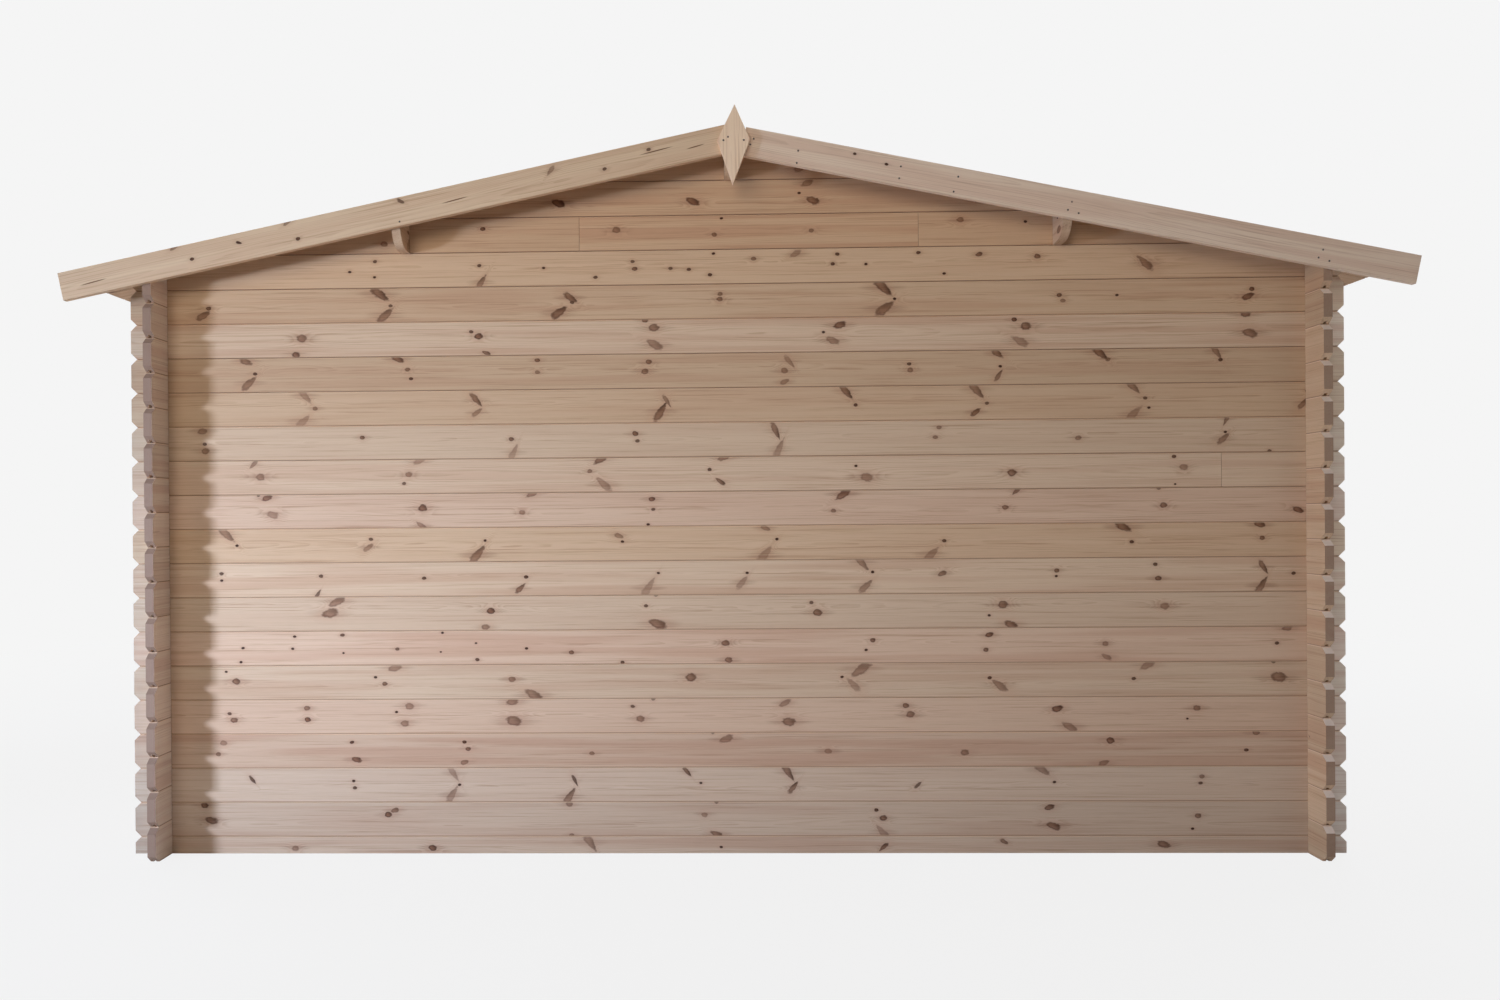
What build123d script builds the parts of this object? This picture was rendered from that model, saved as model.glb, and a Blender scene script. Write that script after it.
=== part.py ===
"""Garden shed in log-cabin style: tongued logs interlocked at the corners under a low gable roof."""

import os
from math import cos, floor, radians, sin, tan

from build123d import *

# Overall sizes in millimetres: gable logs run along X, side logs along Y
gable_log_length = 4000.0
side_log_length = 3000.0
log_overlap = 96.0  # log ends reach this far past the outer face of the wall they cross
roof_pitch = 11.65  # degrees
seat_gap = 0.3  # air left between neighbouring pieces

# Wall logs
log_thickness = 28.0
course = 114.0  # height of one log
side_courses = 17  # logs in a side wall
tongue_width = 9.0
tongue_height = 8.0
groove_clearance = 0.5
face_bevel = 2.5  # on the upper outer edge of each log
end_chamfer = 20.0  # log ends taper towards the joints above and below
corner_clearance = 1.0  # play of a crossing log or a purlin in its notch

# Butt joints in the rear gable, measured from the middle of the wall
butt_gap = 1.0
wall_butt_course = 10
wall_butts = (1603.0,)
gable_butts = (-495.0, 622.0)

# Roof
deck_thickness = 18.0
eaves_overhang = 220.0  # deck past the side walls
purlin_thickness = 28.0
purlin_height = 114.0
purlin_end_radius = 64.0
barge_width = 90.0
barge_thickness = 18.0
barge_rise = 13.0  # bargeboards above the deck
barge_overhang = 40.0  # bargeboards past the deck, along the slope
barge_joint_offset = 37.0  # the two boards of a gable meet beside the ridge line
finial_width = 103.0
finial_height = 251.0
finial_thickness = 18.0
finial_rise = 54.0  # tip above the bargeboards
finial_offset = 15.0
finial_lean = 7.0  # tip to the right of the foot, seen from the rear
finial_shoulder_share = 0.445  # widest line, from the tip down

# Door in the front gable
leaf_width = 800.0
leaf_thickness = 18.0
leaf_boards = 8
board_gap = 1.0
leaf_gap = 4.0  # round the leaf, in its frame
ledge_width = 95.0
ledge_thickness = 20.0
ledge_inset = 150.0  # outer ledges from the leaf's ends
ledge_side_inset = 30.0
jamb_face = 45.0
jamb_depth = 70.0
jamb_groove = 18.0  # log ends stand this deep in the jambs
head_height = 45.0
threshold_height = 20.0
hinge_length = 320.0
hinge_root = 44.0
hinge_tip = 22.0
hinge_thickness = 3.0
hinge_leaf_width = 30.0
hinge_leaf_height = 110.0
knuckle_diameter = 12.0
handle_height = 980.0
handle_inset = 55.0
handle_plate_width = 40.0
handle_plate_height = 170.0
handle_plate_thickness = 3.0
handle_shaft_diameter = 16.0
handle_standoff = 42.0
handle_length = 115.0
handle_bar = 14.0

# Heights and places worked out from the sizes above
half_course = course / 2
gable_y = side_log_length / 2 - log_overlap - log_thickness / 2
side_x = gable_log_length / 2 - log_overlap - log_thickness / 2
wall_x = side_x + log_thickness / 2
notch_width = log_thickness + corner_clearance
eaves_z = side_courses * course
slope = tan(radians(roof_pitch))
run = cos(radians(roof_pitch))
fall = sin(radians(roof_pitch))
ridge_z = eaves_z + wall_x * slope
deck_run = (wall_x + eaves_overhang) / run
barge_top = deck_thickness + barge_rise
barge_bottom = barge_top - barge_width
barge_y = side_log_length / 2 + seat_gap
finial_y = barge_y + barge_thickness + seat_gap
spanning_course = side_courses - 1  # lowest gable log that reaches under the roof
gable_courses = floor((ridge_z - half_course) / course) + 1
doorway_half = leaf_width / 2 + leaf_gap + jamb_face - jamb_groove + seat_gap
doorway_top = half_course + spanning_course * course
leaf_bottom = half_course + threshold_height + leaf_gap
leaf_top = doorway_top - head_height - leaf_gap
leaf_height = leaf_top - leaf_bottom
leaf_y = gable_y + jamb_depth / 2  # outer face of the leaf and its frame
hinge_x = -(leaf_width + leaf_gap) / 2
ledge_middles = (leaf_bottom + ledge_inset, (leaf_bottom + leaf_top) / 2, leaf_top - ledge_inset)

SIDES = (("left", -1), ("right", 1))
ENDS = (("rear", -1), ("front", 1))


def joint(number):
    """Height of a joint between gable logs, counted from the top of the half log at the bottom."""
    return half_course + number * course


def joint_below(height):
    """Highest joint between gable logs that isn't above a height."""
    return joint(floor((height - half_course) / course))


ridge_seat = joint_below(ridge_z - purlin_height / 2)
purlin_seat = joint_below((ridge_z + eaves_z) / 2 - purlin_height)
purlin_x = (ridge_z - purlin_seat - purlin_height) / slope


def gable_section(end):
    """Plane across the logs of a gable: local x is Y and local y is Z."""
    return Plane(origin=(0, end * gable_y, 0), x_dir=(0, 1, 0), z_dir=(1, 0, 0))


def elevation(y):
    """Upright plane that faces the rear: local x is X and local y is Z."""
    return Plane(origin=(0, y, 0), x_dir=(1, 0, 0), z_dir=(0, -1, 0))


def side_section(side):
    """Plane across the logs of a side wall: local x is X and local y is Z."""
    return Plane(origin=(side * side_x, 0, 0), x_dir=(1, 0, 0), z_dir=(0, -1, 0))


def side_elevation(x):
    """Upright plane that faces right: local x is Y and local y is Z."""
    return Plane(origin=(x, 0, 0), x_dir=(0, 1, 0), z_dir=(1, 0, 0))


def slope_elevation(side, y):
    """Upright plane along one roof slope: local x runs down to the eaves, local y out of the roof."""
    return Plane(origin=(0, y, ridge_z), x_dir=(side * run, 0, -fall), z_dir=(0, -side, 0))


def deck_underside(side):
    """Plane just under one slope of the roof deck, facing out of the roof."""
    deck = Plane(origin=(0, 0, ridge_z), x_dir=(side * run, 0, -fall), z_dir=(side * fall, 0, run))
    return deck.offset(-seat_gap)


def cut_log(section, face, outward, length, crossing, height=course, lower=True, tongued=True):
    """One log on the ground: grooved, tongued, notched for the crossing walls and tapered at its ends."""
    with BuildPart() as log:
        with BuildSketch(section) as body:
            Rectangle(log_thickness, height - seat_gap, align=(Align.CENTER, Align.MIN))
            outer_edge = body.vertices().group_by(Axis.X)[-1 if outward > 0 else 0]
            chamfer(outer_edge.sort_by(Axis.Y)[-1], length=face_bevel)
            if lower:
                groove_width = tongue_width + 2 * groove_clearance
                with Locations((0, -seat_gap)):
                    Rectangle(
                        groove_width,
                        tongue_height + groove_clearance,
                        align=(Align.CENTER, Align.MIN),
                        mode=Mode.SUBTRACT,
                    )
        extrude(amount=length / 2, both=True)
        if tongued:
            with BuildSketch(section):
                with Locations((0, height - seat_gap)):
                    Rectangle(tongue_width, tongue_height, align=(Align.CENTER, Align.MIN))
            extrude(amount=crossing - notch_width / 2, both=True)
        joints = (0, height) if lower else (height,)
        with BuildSketch(face):
            with Locations([(end * crossing, level) for end in (-1, 1) for level in joints]):
                Rectangle(notch_width, half_course + seat_gap)
            with Locations([(end * length / 2, level) for end in (-1, 1) for level in joints]):
                RegularPolygon(radius=end_chamfer, side_count=4)
        extrude(amount=log_thickness, both=True, mode=Mode.SUBTRACT)
    return log.part


def cut_gable_log(end, **kind):
    """One log of a gable, on the ground."""
    return cut_log(gable_section(end), elevation(end * gable_y), end, gable_log_length, side_x, **kind)


def cut_side_log(side, **kind):
    """One log of a side wall, on the ground."""
    return cut_log(side_section(side), side_elevation(side * side_x), side, side_log_length, gable_y, **kind)


def part_log(log, end, places):
    """A gable log sawn into lengths that meet end to end."""
    with BuildPart() as lengths:
        add(log)
        with BuildSketch(elevation(end * gable_y)):
            with Locations([(place, 0) for place in places]):
                Rectangle(butt_gap, 2 * (course + tongue_height))
        extrude(amount=log_thickness, both=True, mode=Mode.SUBTRACT)
    return lengths.part


def courses_at(numbers):
    """Places of gable logs, numbered from the half log up."""
    return [(0, 0, joint(number)) for number in numbers]


os.makedirs("parts", exist_ok=True)

whole_logs = {end_name: cut_gable_log(end) for end_name, end in ENDS}

# Half logs that start the gables; the front one has no tongue in the doorway
for end_name, end in ENDS:
    half_log = cut_gable_log(end, height=half_course, lower=False)
    with BuildPart() as sill_log:
        add(half_log)
        if end_name == "front":
            with BuildSketch(elevation(end * gable_y)):
                with Locations((0, half_course - seat_gap)):
                    Rectangle(2 * doorway_half, course, align=(Align.CENTER, Align.MIN))
            extrude(amount=log_thickness, both=True, mode=Mode.SUBTRACT)
    sill_log.part.label = f"{end_name}_sill_log"
    export_step(sill_log.part, f"parts/{end_name}_sill_log.step")

# Rear wall, with one log in two lengths
butted_log = part_log(whole_logs["rear"], -1, wall_butts)
with BuildPart() as rear_wall_logs:
    with Locations(courses_at(n for n in range(spanning_course) if n != wall_butt_course)):
        add(whole_logs["rear"])
    with Locations(courses_at([wall_butt_course])):
        add(butted_log)
rear_wall_logs.part.label = "rear_wall_logs"
export_step(rear_wall_logs.part, "parts/rear_wall_logs.step")

# Front wall on either side of the doorway
for side_name, side in SIDES:
    with BuildPart() as short_log:
        add(whole_logs["front"])
        with BuildSketch(elevation(gable_y)):
            with Locations((side * doorway_half, 0)):
                beyond = Align.MAX if side > 0 else Align.MIN
                Rectangle(gable_log_length, 2 * (course + tongue_height), align=(beyond, Align.CENTER))
        extrude(amount=log_thickness, both=True, mode=Mode.SUBTRACT)
    with BuildPart() as front_logs:
        with Locations(courses_at(range(spanning_course))):
            add(short_log.part)
    front_logs.part.label = f"front_{side_name}_logs"
    export_step(front_logs.part, f"parts/front_{side_name}_logs.step")

# Gable logs cut to the roof slopes, with pockets for the purlins
reach = gable_log_length
pockets = [(-purlin_x, purlin_seat), (0, ridge_seat), (purlin_x, purlin_seat)]
gable_butted_log = part_log(whole_logs["rear"], -1, gable_butts)
for end_name, end in ENDS:
    with BuildPart() as gable_logs:
        with Locations(courses_at(n for n in range(spanning_course, gable_courses) if n != side_courses)):
            add(whole_logs[end_name])
        with Locations(courses_at([side_courses])):
            add(gable_butted_log if end_name == "rear" else whole_logs[end_name])
        with BuildSketch(elevation(end * gable_y)):
            with BuildLine():
                Polyline(
                    (-reach, ridge_z - reach * slope - seat_gap),
                    (0, ridge_z - seat_gap),
                    (reach, ridge_z - reach * slope - seat_gap),
                    (reach, ridge_z + 2 * course),
                    (-reach, ridge_z + 2 * course),
                    close=True,
                )
            make_face()
            with Locations([(middle, seat - seat_gap) for middle, seat in pockets]):
                pocket_width = purlin_thickness + corner_clearance
                Rectangle(pocket_width, 2 * purlin_height, align=(Align.CENTER, Align.MIN))
        extrude(amount=log_thickness, both=True, mode=Mode.SUBTRACT)
    gable_logs.part.label = f"{end_name}_gable_logs"
    export_step(gable_logs.part, f"parts/{end_name}_gable_logs.step")

# Side walls, each with a bevelled log under the eaves
for side_name, side in SIDES:
    side_log = cut_side_log(side)
    with BuildPart() as wall_logs:
        with Locations([(0, 0, number * course) for number in range(side_courses - 1)]):
            add(side_log)
    wall_logs.part.label = f"{side_name}_wall_logs"
    export_step(wall_logs.part, f"parts/{side_name}_wall_logs.step")

    tall_log = cut_side_log(side, height=course + half_course, tongued=False)
    with BuildPart() as eaves_log:
        with Locations((0, 0, eaves_z - course)):
            add(tall_log)
        with BuildSketch(side_elevation(side * side_x)):
            with Locations((-gable_y, eaves_z), (gable_y, eaves_z)):
                Rectangle(notch_width, half_course + seat_gap)
        extrude(amount=log_thickness, both=True, mode=Mode.SUBTRACT)
        split(bisect_by=deck_underside(side), keep=Keep.BOTTOM)
    eaves_log.part.label = f"{side_name}_eaves_log"
    export_step(eaves_log.part, f"parts/{side_name}_eaves_log.step")

# Purlins with rounded lower ends, bevelled to the roof
for name, middle, seat, slopes in (
    ("left_purlin", -purlin_x, purlin_seat, (-1,)),
    ("ridge_purlin", 0, ridge_seat, (-1, 1)),
    ("right_purlin", purlin_x, purlin_seat, (1,)),
):
    with BuildPart() as purlin:
        with BuildSketch(side_elevation(middle)) as outline:
            with Locations((0, seat)):
                Rectangle(side_log_length, 2 * purlin_height, align=(Align.CENTER, Align.MIN))
            fillet(outline.vertices().group_by(Axis.Y)[0], radius=purlin_end_radius)
        extrude(amount=purlin_thickness / 2, both=True)
        for side in slopes:
            split(bisect_by=deck_underside(side), keep=Keep.BOTTOM)
    purlin.part.label = name
    export_step(purlin.part, f"parts/{name}.step")

# Roof deck, mitred at the ridge
for side_name, side in SIDES:
    with BuildPart() as roof_deck:
        with BuildSketch(slope_elevation(side, 0)):
            with BuildLine():
                Polyline(
                    (seat_gap, 0),
                    (deck_run, 0),
                    (deck_run, deck_thickness),
                    (seat_gap - deck_thickness * slope, deck_thickness),
                    close=True,
                )
            make_face()
        extrude(amount=side_log_length / 2, both=True)
    roof_deck.part.label = f"{side_name}_roof_deck"
    export_step(roof_deck.part, f"parts/{side_name}_roof_deck.step")

# Bargeboards, cut square at both ends
for end_name, end in ENDS:
    for side_name, side in SIDES:
        upper_end = (side * barge_joint_offset + seat_gap / 2 - barge_bottom * fall) / run
        with BuildPart() as bargeboard:
            with BuildSketch(slope_elevation(side, end * barge_y)):
                with Locations((upper_end, barge_bottom)):
                    barge_length = deck_run + barge_overhang - upper_end
                    Rectangle(barge_length, barge_width, align=(Align.MIN, Align.MIN))
            extrude(amount=-end * side * barge_thickness)
        bargeboard.part.label = f"{end_name}_{side_name}_bargeboard"
        export_step(bargeboard.part, f"parts/{end_name}_{side_name}_bargeboard.step")

# Diamond finials over the joint of the bargeboards
for end_name, end in ENDS:
    tip = ridge_z + barge_top / run + finial_rise
    shoulder = tip - finial_shoulder_share * finial_height
    with BuildPart() as finial:
        with BuildSketch(elevation(end * finial_y)):
            with BuildLine():
                Polyline(
                    (finial_offset + finial_lean / 2, tip),
                    (finial_offset + finial_width / 2, shoulder),
                    (finial_offset - finial_lean / 2, tip - finial_height),
                    (finial_offset - finial_width / 2, shoulder),
                    close=True,
                )
            make_face()
        extrude(amount=-end * finial_thickness)
    finial.part.label = f"{end_name}_finial"
    export_step(finial.part, f"parts/{end_name}_finial.step")

# Door frame: grooved jambs that hold the log ends, head and threshold between them
for side_name, side in SIDES:
    with BuildPart() as jamb:
        with BuildSketch(Plane.XY.offset(half_course)):
            with Locations((side * (leaf_width / 2 + leaf_gap + jamb_face / 2), gable_y)):
                Rectangle(jamb_face, jamb_depth)
            with Locations((side * (leaf_width / 2 + leaf_gap + jamb_face), gable_y)):
                Rectangle(2 * jamb_groove, notch_width, mode=Mode.SUBTRACT)
        extrude(amount=doorway_top - half_course - seat_gap)
    jamb.part.label = f"door_{side_name}_jamb"
    export_step(jamb.part, f"parts/door_{side_name}_jamb.step")

for name, bottom, height in (
    ("door_threshold", half_course, threshold_height),
    ("door_head", doorway_top - head_height, head_height - seat_gap),
):
    with BuildPart() as rail:
        with BuildSketch(Plane.XY.offset(bottom)):
            with Locations((0, gable_y)):
                Rectangle(leaf_width + 2 * (leaf_gap - seat_gap), jamb_depth)
        extrude(amount=height)
    rail.part.label = name
    export_step(rail.part, f"parts/{name}.step")

# Ledged door leaf
board_pitch = leaf_width / leaf_boards
with BuildPart() as door_boards:
    with BuildSketch(elevation(leaf_y)):
        with Locations((0, (leaf_bottom + leaf_top) / 2)):
            with GridLocations(board_pitch, leaf_height, leaf_boards, 1):
                Rectangle(board_pitch - board_gap, leaf_height)
    extrude(amount=leaf_thickness)
door_boards.part.label = "door_boards"
export_step(door_boards.part, "parts/door_boards.step")

with BuildPart() as door_ledges:
    with BuildSketch(elevation(leaf_y - leaf_thickness - seat_gap)):
        with Locations([(0, middle) for middle in ledge_middles]):
            Rectangle(leaf_width - 2 * ledge_side_inset, ledge_width)
    extrude(amount=ledge_thickness)
door_ledges.part.label = "door_ledges"
export_step(door_ledges.part, "parts/door_ledges.step")

# Strap hinges on the upper and lower ledges
for name, middle in (("door_lower_hinge", ledge_middles[0]), ("door_upper_hinge", ledge_middles[-1])):
    with BuildPart() as hinge:
        with BuildSketch(elevation(leaf_y + seat_gap)):
            with BuildLine():
                Polyline(
                    (hinge_x, middle - hinge_root / 2),
                    (hinge_x + hinge_length, middle - hinge_tip / 2),
                    (hinge_x + hinge_length, middle + hinge_tip / 2),
                    (hinge_x, middle + hinge_root / 2),
                    close=True,
                )
            make_face()
            with Locations((hinge_x, middle)):
                Rectangle(hinge_leaf_width, hinge_leaf_height, align=(Align.MAX, Align.CENTER))
        extrude(amount=-hinge_thickness)
        with BuildSketch(Plane.XY.offset(middle - hinge_root / 2)):
            with Locations((hinge_x, leaf_y + seat_gap + knuckle_diameter / 2)):
                Circle(knuckle_diameter / 2)
        extrude(amount=hinge_root)
    hinge.part.label = name
    export_step(hinge.part, f"parts/{name}.step")

# Lever handle on its plate
handle_x = leaf_width / 2 - handle_inset
with BuildPart() as door_handle_plate:
    with BuildSketch(elevation(leaf_y + seat_gap)):
        with Locations((handle_x, handle_height)):
            RectangleRounded(handle_plate_width, handle_plate_height, handle_plate_width / 4)
    extrude(amount=-handle_plate_thickness)
door_handle_plate.part.label = "door_handle_plate"
export_step(door_handle_plate.part, "parts/door_handle_plate.step")

with BuildPart() as door_handle:
    with BuildSketch(elevation(leaf_y + handle_plate_thickness + 2 * seat_gap)):
        with Locations((handle_x, handle_height)):
            Circle(handle_shaft_diameter / 2)
    extrude(amount=-handle_standoff)
    with BuildSketch(elevation(leaf_y + handle_plate_thickness + 2 * seat_gap + handle_standoff)):
        with Locations((handle_x + handle_shaft_diameter / 2, handle_height)):
            Rectangle(handle_length, handle_bar, align=(Align.MAX, Align.CENTER))
    extrude(amount=handle_bar)
door_handle.part.label = "door_handle"
export_step(door_handle.part, "parts/door_handle.step")
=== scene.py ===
"""Garden shed in log-cabin style, dressed for rendering: pine logs, roof boards, nails and door fittings."""

from math import cos, pi, radians, sin, tan

import bpy
from bpy.props import FloatProperty, FloatVectorProperty, IntProperty, PointerProperty
from mathutils import Euler, Matrix, Vector


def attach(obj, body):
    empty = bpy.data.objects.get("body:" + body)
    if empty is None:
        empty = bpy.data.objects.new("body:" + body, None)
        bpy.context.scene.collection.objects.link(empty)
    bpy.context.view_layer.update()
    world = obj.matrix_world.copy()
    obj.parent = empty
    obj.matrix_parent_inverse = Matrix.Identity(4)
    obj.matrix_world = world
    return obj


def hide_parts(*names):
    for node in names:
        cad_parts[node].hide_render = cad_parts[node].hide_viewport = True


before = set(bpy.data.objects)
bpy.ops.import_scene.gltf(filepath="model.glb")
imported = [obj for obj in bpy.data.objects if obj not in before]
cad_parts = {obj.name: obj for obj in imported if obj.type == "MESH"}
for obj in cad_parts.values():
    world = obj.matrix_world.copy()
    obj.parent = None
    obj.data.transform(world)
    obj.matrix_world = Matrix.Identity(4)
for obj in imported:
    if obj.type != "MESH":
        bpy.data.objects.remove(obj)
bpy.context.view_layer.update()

bl_info = {
    "name": "Log-cabin garden shed",
    "version": (1, 0, 0),
    "blender": (4, 5, 0),
    "location": "View3D > Sidebar > Shed",
    "description": "Gives the shed its pine, roof boards, nails, door fittings and studio",
    "category": "Object",
}

MM = 0.001
COURSE = 0.114
WALL_X = 1.904  # outer faces of the side walls
WALL_Y = 1.404  # outer faces of the gables
EAVES_Z = 1.938
PITCH = radians(11.65)
RIDGE_Z = EAVES_Z + WALL_X * tan(PITCH)
DECK_RUN = (WALL_X + 0.22) / cos(PITCH)
DECK_LENGTH = 3.0
BARGE_FACE = 1.5183  # outer faces of the bargeboards
BARGE_MIDDLE = -0.014  # middle line of a bargeboard above the underside of the deck
FINIAL_FACE = 1.5366
PURLIN_X = 1.0749  # outer purlins from the ridge
PURLIN_HALF = 0.014
LEAF_Y = 1.425  # outer face of the door leaf
LEAF_BOARD = 0.1
LEAF_BOARDS = 8
LEDGE_FACE = 1.407
LEDGE_HEIGHTS = (0.231, 0.9565, 1.682)
FITTING_FACE = LEAF_Y + 0.0033  # outer face of the hinges and the handle plate
HINGE_SCREWS_X = (-0.36, -0.28, -0.20, -0.12)
HINGE_ROOT_X = -0.418
HANDLE_X, HANDLE_HEIGHT = 0.345, 0.98
LOG_JOINT = 0.9  # width of the painted shade line between logs, in millimetres
LISTED_KNOT = 0.0085  # knot size at which the knots have the widths listed below
SIDES = (("left", -1.0), ("right", 1.0))
GABLES = (("rear", -1.0), ("front", 1.0))

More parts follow.
